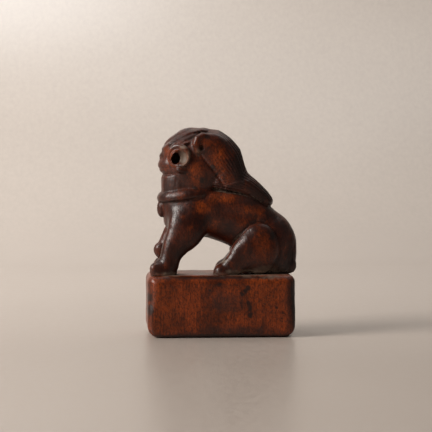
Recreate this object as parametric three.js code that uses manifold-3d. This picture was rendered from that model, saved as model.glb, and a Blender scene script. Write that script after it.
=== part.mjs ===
// A carved wooden seal: a seated guardian lion on a rounded rectangular stamping block.
//
// Millimetres, +Z up. The lion looks along -X and its left side is -Y. The model stands on its
// stamping face, and its origin is the middle of its box at that face.
//
// The seal is cut from one piece of wood. Each mesh is one carved section of it, and the sections
// meet along the knife cuts that a carver makes between them, so two that meet keep one cut's
// width between them.

import * as THREE from 'three';
import { mergeVertices } from 'three/addons/utils/BufferGeometryUtils.js';
import Module from 'manifold-3d';

// Width of the knife cut between two carved sections.
const knifeCut = 0.3;

// The stamping block.
const blockLength = 45;
const blockDepth = 24;
const blockHeight = 19;
const blockTopRadius = 2.2;
const blockBottomRadius = 3.6;
const blockEdgeRadius = 1.5;
const blockSetBack = 0.15;

// The stamping face: a border and a fret that stand on the underside.
const faceThickness = 1;
const reliefDepth = 0.75;
const borderWidth = 1.3;
const fieldCornerRadius = 1.5;
const fretColumns = 4;
const fretRows = 2;
const fretLine = 1;
const fretSpacing = 1;
const reliefGround = reliefDepth - blockHeight;

// The lion's height over the block. Its side view is laid out in steps of a grid that is 46 high,
// and its widths have sizes of their own.
const lionHeight = 46;
const gridRows = 46;
const step = lionHeight / gridRows;

// Widths of the lion, each half of the whole.
const torsoHalfWidth = 8.2;
const chestHalfWidth = 7.6;
const headHalfWidth = 8.3;
const maneHalfWidth = 9.2;
const forelockHalfWidth = 5.6;
const muzzleHalfWidth = 5.7;
const jawHalfWidth = 6.9;
const tailHalfWidth = 3.7;

// How far each pair of limbs stands from the middle plane, and half its width.
const foreSpread = 6.8;
const foreHalfWidth = 3;
const hindSpread = 7.3;
const hindHalfWidth = 3.4;
const rightPawSetBack = 1.5;

// Paws.
const toeCount = 4;
const toeHalfWidth = 0.85;
const foreToePitch = 1.45;
const hindToePitch = 1.35;

// The ball under the raised right forepaw.
const ballRadius = 2.2;
const ballSink = 0.2;
const ballTop = 2 * ballRadius - ballSink;

// The collar and the bell that hangs on it.
const collarHalfHeight = 1.75;
const collarThickness = 1.5;
const collarHalfLength = 8.8;
const collarInset = 1.9;
const collarHalfWidth = maneHalfWidth - collarInset;
const collarTilt = 7;
const bellRadius = 1.9;
const bellLength = 6;

// Eyes.
const eyeRadius = 2.6;
const bowlRadius = 2.45;
const bowlDepth = 1.8;
const rimRadius = 2.85;
const rimThickness = 0.65;
const pupilRadius = 1.1;
const pupilDepth = 1.6;

// How finely round forms are cut into faces.
const limbSides = 14;
const limbRings = 9;
const smallSides = 8;
const smallRings = 5;
const collarSides = 24;

const wasm = await Module();
wasm.setup();

// Turns a closed geometry into a solid whose faces point out.
function solidOf(geometry) {
  const bare = geometry.clone();
  for (const name of Object.keys(bare.attributes)) {
    if (name !== 'position') bare.deleteAttribute(name);
  }
  const welded = mergeVertices(bare, 1e-4);
  const places = Float32Array.from(welded.attributes.position.array);
  const corners = Uint32Array.from(welded.index.array);
  if (signedVolume(places, corners) < 0) {
    for (let i = 0; i < corners.length; i += 3) {
      [corners[i], corners[i + 1]] = [corners[i + 1], corners[i]];
    }
  }
  return new wasm.Manifold(new wasm.Mesh({ numProp: 3, vertProperties: places, triVerts: corners }));
}

// Six times the volume that a mesh encloses, negative where its faces point in.
function signedVolume(places, corners) {
  const [a, b, c] = [new THREE.Vector3(), new THREE.Vector3(), new THREE.Vector3()];
  let sum = 0;
  for (let i = 0; i < corners.length; i += 3) {
    a.fromArray(places, corners[i] * 3);
    b.fromArray(places, corners[i + 1] * 3);
    c.fromArray(places, corners[i + 2] * 3);
    sum += a.dot(b.cross(c));
  }
  return sum;
}

// Joins solids into one.
function joined(solids) {
  return solids.reduce((whole, solid) => whole.add(solid));
}

// A geometry from a solid, with flat shading.
function geometryOf(solid) {
  const mesh = solid.getMesh();
  const geometry = new THREE.BufferGeometry();
  geometry.setAttribute('position', new THREE.BufferAttribute(mesh.vertProperties, 3));
  geometry.setIndex(new THREE.BufferAttribute(mesh.triVerts, 1));
  const faceted = geometry.toNonIndexed();
  faceted.computeVertexNormals();
  return faceted;
}

// A rounded form along an axis. Each station is [x, y, z, half height, half width]: the axis runs
// through x, y, z, the half width is along Y and the half height is across both. The shares in
// round are how much of the axis each end takes to close. Widths and y are in millimetres, and the
// rest is in steps of the lion's grid.
function limb(stations, grow, { round = [0.25, 0.25], power = 2, small = false } = {}) {
  const axis = new THREE.CatmullRomCurve3(
    stations.map(([x, y, z]) => new THREE.Vector3(x * step, y, z * step)),
  );
  const sizes = new THREE.CatmullRomCurve3(
    stations.map(([, , , high, wide]) => new THREE.Vector3(high * step, wide, 0)),
  );
  const geometry = new THREE.SphereGeometry(
    1, small ? smallSides : limbSides, small ? smallRings : limbRings,
  );
  const position = geometry.attributes.position;
  const acrossY = new THREE.Vector3(0, 1, 0);
  const point = new THREE.Vector3();
  for (let i = 0; i < position.count; i += 1) {
    point.fromBufferAttribute(position, i);
    const along = THREE.MathUtils.clamp((1 - point.y) / 2, 0, 1);
    const angle = Math.atan2(point.z, point.x);
    const startShare = Math.max(0, 1 - along / round[0]);
    const endShare = Math.max(0, 1 - (1 - along) / round[1]);
    const closing = Math.sqrt(Math.max(0, 1 - startShare ** 2 - endShare ** 2));
    const size = sizes.getPoint(along);
    const tangent = axis.getTangent(along);
    const across = new THREE.Vector3().crossVectors(tangent, acrossY).normalize();
    const high = superellipse(Math.cos(angle), power) * (size.x + grow) * closing;
    const wide = superellipse(Math.sin(angle), power) * (size.y + grow) * closing;
    const place = axis.getPoint(along)
      .addScaledVector(tangent, grow * (endShare - startShare))
      .addScaledVector(across, high)
      .addScaledVector(acrossY, wide);
    position.setXYZ(i, place.x, place.y, place.z);
  }
  return solidOf(geometry);
}

// The cosine or sine of a superellipse: a power of 2 is an ellipse, more is squarer.
function superellipse(value, power) {
  return Math.sign(value) * Math.abs(value) ** (2 / power);
}

// An ellipsoid, turned about Y by an angle in degrees. Along Y it is in millimetres, and the rest
// is in steps of the lion's grid.
function blob([x, y, z], [halfX, halfY, halfZ], grow, turn = 0, small = false) {
  const geometry = new THREE.SphereGeometry(
    1, small ? smallSides : limbSides, small ? smallRings : limbRings,
  );
  geometry.scale(halfX * step + grow, halfY + grow, halfZ * step + grow);
  geometry.rotateY(THREE.MathUtils.degToRad(turn));
  geometry.translate(x * step, y, z * step);
  return solidOf(geometry);
}

// A rectangular bar given by its lowest and highest corners.
function bar(low, high) {
  const geometry = new THREE.BoxGeometry(high[0] - low[0], high[1] - low[1], high[2] - low[2]);
  geometry.translate((low[0] + high[0]) / 2, (low[1] + high[1]) / 2, (low[2] + high[2]) / 2);
  return solidOf(geometry);
}

// Everything above the block's top, where the lion stands.
function aboveBlock() {
  const reach = blockLength + blockHeight;
  return bar([-reach, -reach, 0], [reach, reach, 2 * reach]);
}

// A rectangle with its own radius at the lower and the upper corners.
function roundedRectangle(width, height, lower, upper) {
  const shape = new THREE.Shape();
  const right = width / 2;
  shape.moveTo(-right + lower, 0);
  shape.lineTo(right - lower, 0);
  shape.absarc(right - lower, lower, lower, -Math.PI / 2, 0, false);
  shape.lineTo(right, height - upper);
  shape.absarc(right - upper, height - upper, upper, 0, Math.PI / 2, false);
  shape.lineTo(-right + upper, height);
  shape.absarc(-right + upper, height - upper, upper, Math.PI / 2, Math.PI, false);
  shape.lineTo(-right, lower);
  shape.absarc(-right + lower, lower, lower, Math.PI, 1.5 * Math.PI, false);
  return shape;
}

// The whole block, with its stamping face.
function wholeBlock() {
  const outline = roundedRectangle(blockLength, blockHeight, blockBottomRadius, blockTopRadius);
  const geometry = new THREE.ExtrudeGeometry(outline, {
    depth: blockDepth - 2 * blockEdgeRadius,
    bevelThickness: blockEdgeRadius,
    bevelSize: blockEdgeRadius,
    bevelOffset: -blockEdgeRadius,
    bevelSegments: 3,
    curveSegments: 4,
  });
  geometry.rotateX(Math.PI / 2);
  geometry.translate(blockSetBack, blockDepth / 2 - blockEdgeRadius, -blockHeight);
  return solidOf(geometry);
}

// A box as wide and deep as the block, with room to spare, between two heights over its top.
function slab(low, high) {
  return bar([-blockLength, -blockDepth, low], [blockLength, blockDepth, high]);
}

// The block, from the back of the stamping face to the lion's feet.
function sealBlock() {
  return wholeBlock().intersect(slab(faceThickness - blockHeight, blockHeight));
}

// The middle line of a square spiral that winds in from the lowest corner of its cell.
function squareSpiral(width, depth) {
  const step = fretLine + fretSpacing;
  let [left, right, front, back] = [0, width, 0, depth];
  const points = [[left, front]];
  while (right - left > step && back - front > step) {
    points.push([right, front], [right, back], [left, back]);
    front += step;
    back -= step;
    right -= step;
    if (back > front) {
      points.push([left, front]);
      left += step;
    }
  }
  return points;
}

// The bars of one spiral of the fret, mirrored along X where flip is set.
function fretCell(x, y, width, depth, flip) {
  const half = fretLine / 2;
  const spiral = squareSpiral(width - fretLine, depth - fretLine).map(([across, up]) => [
    x + half + (flip ? width - fretLine - across : across),
    y + half + up,
  ]);
  return spiral.slice(1).map(([toX, toY], i) => {
    const [fromX, fromY] = spiral[i];
    return bar(
      [Math.min(fromX, toX) - half, Math.min(fromY, toY) - half, -blockHeight],
      [Math.max(fromX, toX) + half, Math.max(fromY, toY) + half, reliefGround + reliefDepth / 10],
    );
  });
}

// The stamping face: a border round a sunk field that holds a fret of square spirals.
function sealFace() {
  const length = blockLength - 2 * (blockBottomRadius + borderWidth);
  const depth = blockDepth - 2 * (blockEdgeRadius + borderWidth);
  const field = new THREE.ExtrudeGeometry(
    roundedRectangle(length, depth, fieldCornerRadius, fieldCornerRadius),
    { depth: 2 * reliefDepth, bevelEnabled: false, curveSegments: 3 },
  );
  field.translate(blockSetBack, -depth / 2, reliefGround - 2 * reliefDepth);
  const cellWidth = (length - fretSpacing) / fretColumns - fretSpacing;
  const cellDepth = (depth - fretSpacing) / fretRows - fretSpacing;
  const bars = [];
  for (let column = 0; column < fretColumns; column += 1) {
    for (let row = 0; row < fretRows; row += 1) {
      const x = blockSetBack - length / 2 + fretSpacing + column * (cellWidth + fretSpacing);
      const y = -depth / 2 + fretSpacing + row * (cellDepth + fretSpacing);
      bars.push(...fretCell(x, y, cellWidth, cellDepth, (column + row) % 2 === 1));
    }
  }
  const sole = wholeBlock().intersect(slab(-2 * blockHeight, faceThickness - blockHeight));
  return joined([sole.subtract(solidOf(field)), ...bars]);
}

// The trunk: the chest stands upright and the back slopes down to the seat.
function torso(grow) {
  const chest = limb([
    [-9.6, 0, 10.5, 5.2, chestHalfWidth * 0.75],
    [-9.8, 0, 15.5, 7.2, chestHalfWidth * 0.93],
    [-9.4, 0, 20, 8.3, chestHalfWidth],
    [-9.4, 0, 24, 8.5, chestHalfWidth * 0.97],
    [-9.4, 0, 27.5, 7.6, chestHalfWidth * 0.89],
  ], grow, { round: [0.25, 0.15] });
  const back = limb([
    [-12, 0, 19.5, 6, torsoHalfWidth * 0.85],
    [-6, 0, 19.3, 7.8, torsoHalfWidth * 0.98],
    [1, 0, 17.6, 7.8, torsoHalfWidth],
    [8, 0, 14.8, 8, torsoHalfWidth],
    [14.6, 0, 10.9, 8.4, torsoHalfWidth],
    [20.6, 0, 4.6, 8, torsoHalfWidth * 0.95],
  ], grow, { round: [0.15, 0.2] });
  const seat = blob([15.4, 0, 3.6], [6.6, torsoHalfWidth * 0.95, 6], grow);
  const rump = blob([15, 0, 7.2], [6.9, torsoHalfWidth * 1.05, 8.2], grow);
  const withers = limb([
    [-8.5, 0, 22.4, 4.3, torsoHalfWidth * 0.85],
    [-3, 0, 22.4, 4.5, torsoHalfWidth * 0.93],
    [3, 0, 22, 4.8, torsoHalfWidth],
    [8, 0, 20.9, 4.8, torsoHalfWidth],
    [12.5, 0, 18.4, 4, torsoHalfWidth * 0.93],
    [16, 0, 15.1, 3, torsoHalfWidth * 0.8],
  ], grow, { round: [0.2, 0.2], power: 2.4 });
  return joined([chest, back, seat, rump, withers]).intersect(aboveBlock());
}

// The head, without the jaw and the muzzle.
function head(grow) {
  const skull = limb([
    [-6.6, 0, 28.6, 8.2, headHalfWidth * 0.94],
    [-7.7, 0, 33, 9.6, headHalfWidth],
    [-8, 0, 37.6, 9.5, headHalfWidth * 0.96],
    [-7.3, 0, 41.2, 6.3, headHalfWidth * 0.78],
    [-5.6, 0, 44.4, 3, headHalfWidth * 0.54],
  ], grow, { round: [0.12, 0.2], power: 2.3 });
  const cheeks = [-1, 1].map((side) => blob(
    [-4.4, side * headHalfWidth * 0.52, 31.6], [6.8, headHalfWidth * 0.5, 5.2], grow, 35,
  ));
  return joined([skull, ...cheeks]);
}

function muzzle(grow) {
  const snout = blob([-14.3, 0, 33.4], [4.5, muzzleHalfWidth, 3.5], grow, -4);
  const nose = blob([-16.9, 0, 35.9], [1.5, muzzleHalfWidth * 0.4, 1.2], grow, 20, true);
  return joined([snout, nose]);
}

function jaw(grow) {
  return limb([
    [-10.3, 0, 23.6, 7.4, jawHalfWidth * 0.96],
    [-10.2, 0, 27.3, 7.6, jawHalfWidth],
    [-10, 0, 31.2, 7.9, jawHalfWidth],
  ], grow, { round: [0.2, 0.2], power: 2.4 });
}

// The lock of hair from the forehead to the crown.
function forelock(grow) {
  return limb([
    [-17, 0, 38.8, 1.1, forelockHalfWidth * 0.46],
    [-14, 0, 40.6, 1.4, forelockHalfWidth * 0.86],
    [-10, 0, 42.3, 1.5, forelockHalfWidth],
    [-5.6, 0, 43.5, 1.3, forelockHalfWidth * 0.9],
    [-1, 0, 42.9, 0.9, forelockHalfWidth * 0.5],
  ], grow);
}

// The hood of the mane, behind the face.
function maneHood(grow) {
  return limb([
    [4.8, 0, 27.4, 3.1, maneHalfWidth * 0.89],
    [3.9, 0, 30.5, 4.6, maneHalfWidth * 0.97],
    [1.1, 0, 34.5, 6.4, maneHalfWidth],
    [-1.3, 0, 38.5, 5.9, maneHalfWidth * 0.93],
    [-2.8, 0, 41.4, 4.5, maneHalfWidth * 0.74],
    [-3.8, 0, 44, 3, maneHalfWidth * 0.5],
  ], grow, { round: [0.06, 0.14], power: 2.4 });
}

// The part of the mane that lies on the back, down to its tip.
function maneCape(grow) {
  return limb([
    [-5, 0, 28.8, 2.6, maneHalfWidth * 0.76],
    [-1, 0, 28.6, 3.3, maneHalfWidth * 0.89],
    [3, 0, 28.2, 3.9, maneHalfWidth * 0.94],
    [7.3, 0, 27.1, 3.7, maneHalfWidth * 0.93],
    [11.4, 0, 24.5, 3, maneHalfWidth * 0.84],
    [14.4, 0, 21.7, 2.3, maneHalfWidth * 0.68],
    [15.6, 0, 19.9, 1.3, maneHalfWidth * 0.5],
  ], grow, { round: [0.12, 0.15], power: 2.6 });
}

// The tail lies up the rump and ends in curls at the block.
function tail(grow) {
  const stem = limb([
    [20.2, 0, 15.8, 1.2, tailHalfWidth * 0.62],
    [21.6, 0, 11.6, 1.4, tailHalfWidth * 0.84],
    [22.5, 0, 6.9, 1.4, tailHalfWidth],
    [22.5, 0, 3.4, 1.4, tailHalfWidth],
    [22.1, 0, 0.9, 1.3, tailHalfWidth * 0.9],
  ], grow, { round: [0.2, 0.15] });
  const curls = [-1, 1].map((side) => blob(
    [22.75, side * tailHalfWidth * 0.65, 2.2], [1.15, tailHalfWidth * 0.46, 1.9], grow, 0, true,
  ));
  return joined([stem, ...curls]).intersect(aboveBlock());
}

// The collar: a round band about the neck, higher at the nape.
function collar(grow) {
  const band = new THREE.Path();
  band.absellipse(
    1, 0, (collarThickness + grow) / collarHalfLength, collarHalfHeight + grow,
    -Math.PI, Math.PI, false, 0,
  );
  const geometry = new THREE.LatheGeometry(band.getPoints(smallSides), collarSides);
  geometry.rotateX(Math.PI / 2);
  geometry.scale(collarHalfLength, collarHalfWidth, 1);
  geometry.rotateY(THREE.MathUtils.degToRad(-collarTilt));
  geometry.translate(-9.1 * step, 0, 24.6 * step);
  return solidOf(geometry);
}

// The bell under the chin: a pear that hangs from the collar.
function chestBell(grow) {
  const waist = bellRadius * 0.55;
  const outline = new THREE.SplineCurve([
    new THREE.Vector2(0, -bellLength / 2 - grow),
    new THREE.Vector2(bellRadius * 0.7 + grow, -bellLength * 0.4),
    new THREE.Vector2(bellRadius + grow, -bellLength * 0.12),
    new THREE.Vector2(waist + grow, bellLength * 0.28),
    new THREE.Vector2(0, bellLength / 2 + grow),
  ]);
  const points = outline.getPoints(smallSides).map((p) => new THREE.Vector2(Math.max(0, p.x), p.y));
  const geometry = new THREE.LatheGeometry(points, smallSides);
  geometry.rotateX(Math.PI / 2);
  geometry.translate(-17.4 * step, 0, 20.3 * step);
  return solidOf(geometry);
}

// An eye: a shallow bowl in a raised rim, with a pupil drilled in its front part.
function eye(side, grow) {
  const place = new THREE.Vector3(-12.6 * step, side * headHalfWidth * 0.78, 35.8 * step);
  const facing = new THREE.Vector3(-0.5, side, 0.06).normalize();
  const turn = new THREE.Quaternion().setFromUnitVectors(new THREE.Vector3(0, 0, 1), facing);
  const rim = new THREE.TorusGeometry(rimRadius, rimThickness + grow, smallRings, smallSides + 4);
  const ball = new THREE.SphereGeometry(eyeRadius + grow, limbSides, limbRings);
  const parts = [rim, ball].map((geometry) => {
    geometry.applyQuaternion(turn);
    return geometry;
  });
  rim.translate(...place.clone().addScaledVector(facing, eyeRadius * 0.2).toArray());
  ball.translate(...place.toArray());
  const whole = joined(parts.map(solidOf));
  if (grow > 0) return whole;
  const bowl = new THREE.SphereGeometry(1, limbSides, limbRings);
  bowl.scale(bowlRadius, bowlRadius, bowlDepth);
  bowl.applyQuaternion(turn);
  bowl.translate(...place.clone().addScaledVector(facing, eyeRadius * 0.77).toArray());
  const drill = new THREE.CylinderGeometry(pupilRadius, pupilRadius, 2 * pupilDepth, smallSides);
  drill.rotateX(-side * Math.PI / 2);
  drill.translate(place.x - pupilRadius, place.y + side * eyeRadius * 0.3, place.z);
  return whole.subtract(solidOf(bowl)).subtract(solidOf(drill));
}

// An ear folded back against the mane, hollowed on its outer side.
function ear(side, grow) {
  const place = [-5.2, side * headHalfWidth * 0.88, 39.8];
  const whole = blob(place, [3.3, headHalfWidth * 0.2, 3.3], grow, 20);
  if (grow > 0) return whole;
  const low = [-5.2, side * headHalfWidth * 1.23, 39.4];
  const hollow = blob(low, [1.5, headHalfWidth * 0.16, 2], 0, 20, true);
  return whole.subtract(hollow);
}

// A foreleg, from the shoulder to the wrist. The lift raises the wrist.
function foreleg(side, lift, grow) {
  const y = (share) => side * foreSpread * share;
  const rise = lift / step;
  return limb([
    [-7.9, y(0.79), 19.5, 7, foreHalfWidth * 1.3],
    [-11, y(0.91), 12.7 + rise * 0.15, 5.6, foreHalfWidth * 1.17],
    [-13.6, y(0.97), 8.8 + rise * 0.45, 4.1, foreHalfWidth * 1.03],
    [-15.1, y(1), 5.6 + rise * 0.75, 3.2, foreHalfWidth * 0.93],
    [-16.1, y(1.03), 2.4 + rise, 2.8, foreHalfWidth * 0.9],
  ], grow, { round: [0.2, 0.2], power: 2.2 });
}

// A row of toes in front of a paw.
function toes(x, y, z, pitch, sizes, lean, grow) {
  return Array.from({ length: toeCount }, (_, i) => {
    const offset = i - (toeCount - 1) / 2;
    const back = 0.12 * offset ** 2;
    return blob([x + back, y + offset * pitch, z], [sizes[0], toeHalfWidth, sizes[1]], grow, lean, true);
  });
}

// A forepaw. The lift is the height of its sole over the block.
function forepaw(side, lift, grow) {
  const y = side * foreSpread * 1.03;
  const lifted = lift > 0;
  const rise = lift / step;
  const palm = lifted
    ? blob([-16.2, y, rise + 2.1], [3.7, foreHalfWidth, 2.3], grow, 8)
    : blob([-17.5, y, 0.9], [4, foreHalfWidth, 4.2], grow);
  const row = lifted
    ? toes(-18.1, y, rise + 2.2, foreToePitch, [1.8, 2.2], -12, grow)
    : toes(-19.5, y, 1, foreToePitch, [1.9, 2.9], -20, grow);
  return joined([palm, ...row]).intersect(aboveBlock());
}

function ball(grow) {
  const middle = (ballRadius - ballSink) / step;
  const half = [ballRadius / step, ballRadius, ballRadius / step];
  return blob([-17.8, foreSpread * 1.03, middle], half, grow).intersect(aboveBlock());
}

// A hind leg, from the haunch down the shin to the paw.
function hindLeg(side, grow) {
  const y = side * hindSpread;
  const behind = side > 0 ? rightPawSetBack / step : 0;
  const haunch = blob([11.7, y, 8], [6.3, hindHalfWidth * 1.09, 8], grow);
  const shin = limb([
    [11.5, y, 8.8, 5, hindHalfWidth * 0.97],
    [7.9 + behind / 2, y, 6.7, 4.7, hindHalfWidth],
    [4.9 + behind, y, 3.7, 3.7, hindHalfWidth * 0.91],
    [0.9 + behind, y, 1.3, 2.4, hindHalfWidth * 0.79],
  ], grow, { round: [0.2, 0.15], power: 2.8 });
  return joined([haunch, shin]).intersect(aboveBlock());
}

function hindPaw(side, grow) {
  const y = side * hindSpread * 1.01;
  const x = side > 0 ? rightPawSetBack / step : 0;
  const pad = blob([x + 0.9, y, 0.6], [3.1, hindHalfWidth * 0.82, 3.9], grow);
  const row = toes(x + 0.1, y, 0.8, hindToePitch, [1.9, 2.8], -25, grow);
  return joined([pad, ...row]).intersect(aboveBlock());
}

// Every section, the ones that are let into their neighbours first.
const sections = [
  ['seal_block', 0x5e2c1a, sealBlock],
  ['seal_face', 0x4a2114, sealFace],
  ['left_eye', 0x6a4030, (grow) => eye(-1, grow)],
  ['right_eye', 0x6a4030, (grow) => eye(1, grow)],
  ['left_ear', 0x6e3a26, (grow) => ear(-1, grow)],
  ['right_ear', 0x6e3a26, (grow) => ear(1, grow)],
  ['forelock', 0x4c2a20, forelock],
  ['chest_bell', 0x46241a, chestBell],
  ['collar', 0x58301f, collar],
  ['play_ball', 0x46241a, ball],
  ['left_forepaw', 0x54301f, (grow) => forepaw(-1, 0, grow)],
  ['right_forepaw', 0x54301f, (grow) => forepaw(1, ballTop, grow)],
  ['left_foreleg', 0x4c281c, (grow) => foreleg(-1, 0, grow)],
  ['right_foreleg', 0x4c281c, (grow) => foreleg(1, ballTop, grow)],
  ['left_hind_paw', 0x54301f, (grow) => hindPaw(-1, grow)],
  ['right_hind_paw', 0x54301f, (grow) => hindPaw(1, grow)],
  ['left_hind_leg', 0x5a2c1a, (grow) => hindLeg(-1, grow)],
  ['right_hind_leg', 0x5a2c1a, (grow) => hindLeg(1, grow)],
  ['tail', 0x422219, tail],
  ['muzzle', 0x5c3628, muzzle],
  ['jaw', 0x54302a, jaw],
  ['head', 0x5c301c, head],
  ['torso', 0x482518, torso],
  ['mane_hood', 0x50291a, maneHood],
  ['mane_cape', 0x42241a, maneCape],
];

// The largest of a solid's separate bodies: the others are chips that a cut leaves behind.
function withoutChips(solid) {
  return solid.decompose().reduce((best, body) => (body.volume() > best.volume() ? body : best));
}

const figure = new THREE.Group();
sections.forEach(([name, colour, form], index) => {
  let solid = form(0);
  const onBlock = index > 1;
  if (onBlock) {
    for (const [, , earlier] of sections.slice(2, index)) {
      solid = solid.subtract(earlier(knifeCut));
    }
  }
  const material = new THREE.MeshStandardMaterial({ color: colour, roughness: 0.42, metalness: 0 });
  const mesh = new THREE.Mesh(geometryOf(withoutChips(solid)), material);
  mesh.name = name;
  figure.add(mesh);
});

// The lion's rump stands out past the block, so the box's middle isn't the block's.
figure.position.z = blockHeight;
const box = new THREE.Box3().setFromObject(figure);
const middle = box.getCenter(new THREE.Vector3());
figure.position.x = -middle.x;
figure.position.y = -middle.y;

const seal = new THREE.Group();
seal.add(figure);

export default seal;
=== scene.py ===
import math
from functools import lru_cache, partial, reduce

import bpy
import numpy as np
from bpy.props import FloatProperty, FloatVectorProperty, IntProperty, PointerProperty
from bpy.types import Operator, Panel, PropertyGroup
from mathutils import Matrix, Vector


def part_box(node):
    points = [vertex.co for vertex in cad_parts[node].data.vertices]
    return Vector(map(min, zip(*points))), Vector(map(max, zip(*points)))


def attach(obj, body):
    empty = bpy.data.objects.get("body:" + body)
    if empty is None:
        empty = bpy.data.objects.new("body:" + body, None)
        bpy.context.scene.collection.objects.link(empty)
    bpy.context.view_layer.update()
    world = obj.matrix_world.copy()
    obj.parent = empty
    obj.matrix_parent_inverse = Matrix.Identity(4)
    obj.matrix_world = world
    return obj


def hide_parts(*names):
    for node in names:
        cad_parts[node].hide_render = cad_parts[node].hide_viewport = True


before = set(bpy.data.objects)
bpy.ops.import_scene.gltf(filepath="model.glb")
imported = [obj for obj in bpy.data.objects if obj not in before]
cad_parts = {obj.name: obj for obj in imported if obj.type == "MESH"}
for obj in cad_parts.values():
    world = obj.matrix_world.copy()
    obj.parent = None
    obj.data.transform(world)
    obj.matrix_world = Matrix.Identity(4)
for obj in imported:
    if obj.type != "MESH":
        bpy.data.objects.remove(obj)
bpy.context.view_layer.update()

# A carved wooden seal: a seated guardian lion on a rounded rectangular stamping block.
#
# The forms are worked out in millimetres of the lion's own frame: it looks along -X, its left
# side is -Y, and Z is the height over the block's top.

bl_info = {
    "name": "Carved seal with a seated lion",
    "version": (1, 0, 0),
    "blender": (4, 5, 0),
    "location": "3D View > Sidebar > Seal",
    "description": "Carves the sections of a wooden seal and sets them on a pale table",
    "category": "Object",
}

MM = 0.001
BLOCK_LOW, BLOCK_HIGH = (np.array(corner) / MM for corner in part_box("seal_block"))
SOLE = float(np.array(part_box("seal_face")[0])[2] / MM)
BLOCK_TOP = float(BLOCK_HIGH[2])
BLOCK_MIDDLE = 0.15
SHIFT = np.array([(BLOCK_LOW[0] + BLOCK_HIGH[0]) / 2 - BLOCK_MIDDLE, 0, BLOCK_TOP])
SIDES = (-1, 1)
BALL_TOP = 4.2


def length_prop(name, description, default, least=0.0):
    """A length that a user may change, in metres."""
    return FloatProperty(
        name=name, description=description, default=default, min=least, unit="LENGTH", precision=5,
    )


def colour_prop(name, description, default):
    """A colour that a user may change."""
    return FloatVectorProperty(
        name=name, description=description, default=default, subtype="COLOR", size=3, min=0, max=1,
    )


def power_prop(name, description, default):
    """A lamp's power, in watts."""
    return FloatProperty(name=name, description=description, default=default, min=0, unit="POWER")


class SealShape(PropertyGroup):
    """Sizes of the carving."""

    detail: length_prop("Detail", "Distance between the points of the lion's surface", 0.00026, 0.0001)
    block_detail: length_prop(
        "Block detail", "Distance between the points of the block's surface", 0.0004, 0.0001,
    )
    hand_wave: length_prop("Unevenness", "How far the knife strays from a true surface", 0.00007)
    block_top_radius: length_prop(
        "Block top radius", "Radius of the block's upper corners", 0.0022, 0.0005,
    )
    block_bottom_radius: length_prop(
        "Block bottom radius", "Radius of the block's lower corners", 0.0036, 0.0005,
    )
    block_edge_radius: length_prop(
        "Block edge radius", "Radius of the edges round the block's long sides", 0.0021, 0.0003,
    )
    fret_columns: IntProperty(
        name="Fret columns", description="Spirals along the stamping face", default=4, min=1,
    )
    fret_rows: IntProperty(
        name="Fret rows", description="Spirals across the stamping face", default=2, min=1,
    )


class SealFinish(PropertyGroup):
    """Colours and polish of the wood."""

    block_colour: colour_prop("Block", "Rubbed wood of the block", (0.205, 0.0330, 0.0040))
    lion_colour: colour_prop("Lion", "Wood of the lion", (0.064, 0.0115, 0.0038))
    worn_colour: colour_prop("Worn wood", "Wood laid bare by hands", (0.220, 0.0370, 0.0034))
    # Dark patina, also laid on as painted shade in the hollows and at listed shaded places.
    dark_colour: colour_prop("Dark patina", "Patina in the hollows", (0.014, 0.0050, 0.0032))
    # Pale dust, also used for painted highlights on the eyes and an ear.
    dust_and_highlight_colour: colour_prop("Dust", "Pale dust in the deepest cuts", (0.190, 0.138, 0.100))
    paste_colour: colour_prop("Seal paste", "Old paste on the stamping face", (0.230, 0.022, 0.012))
    roughness: FloatProperty(
        name="Roughness", description="Roughness of the polished wood",
        default=0.37, min=0.05, max=1, subtype="FACTOR",
    )


class SealStage(PropertyGroup):
    """The table, the light and the camera."""

    table_colour: colour_prop("Table", "Colour of the table and its wall", (0.400, 0.346, 0.303))
    key_power: power_prop("Key light", "Power of the large soft lamp on the left", 7.4)
    top_power: power_prop("Top light", "Power of the large soft lamp overhead", 0.9)
    wall_power: power_prop("Wall light", "Power of the lamp on the wall", 2.7)
    sky_strength: FloatProperty(
        name="Room light", description="Strength of the light from all round, on average",
        default=0.15, min=0,
    )
    lens: FloatProperty(
        name="Lens", description="Focal length of the camera", default=134.9, min=10, unit="CAMERA",
    )


# Forms


class Lump:
    """A block of sample points in which a form is carved."""

    def __init__(self, low, high, cell):
        spans = [np.arange(a - 3 * cell, b + 4 * cell, cell) for a, b in zip(low, high)]
        self.cell = cell
        self.low = np.array([span[0] for span in spans])
        x, y, z = (span.astype(np.float32) for span in spans)
        self.x, self.y, self.z = x[:, None, None], y[None, :, None], z[None, None, :]
        self.shape = (len(x), len(y), len(z))


def both(a, b, blend=0.0):
    """The join of two forms, with a fillet of the given size between them."""
    if np.max(blend) <= 0:
        return np.minimum(a, b)
    return np.minimum(a, b) - np.maximum(blend - np.abs(a - b), 0) ** 2 / (4 * blend)


def without(a, b, blend=0.0):
    """The first form with the second cut out of it, the new edges rounded by the given size."""
    return -both(-a, b, blend)


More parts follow.
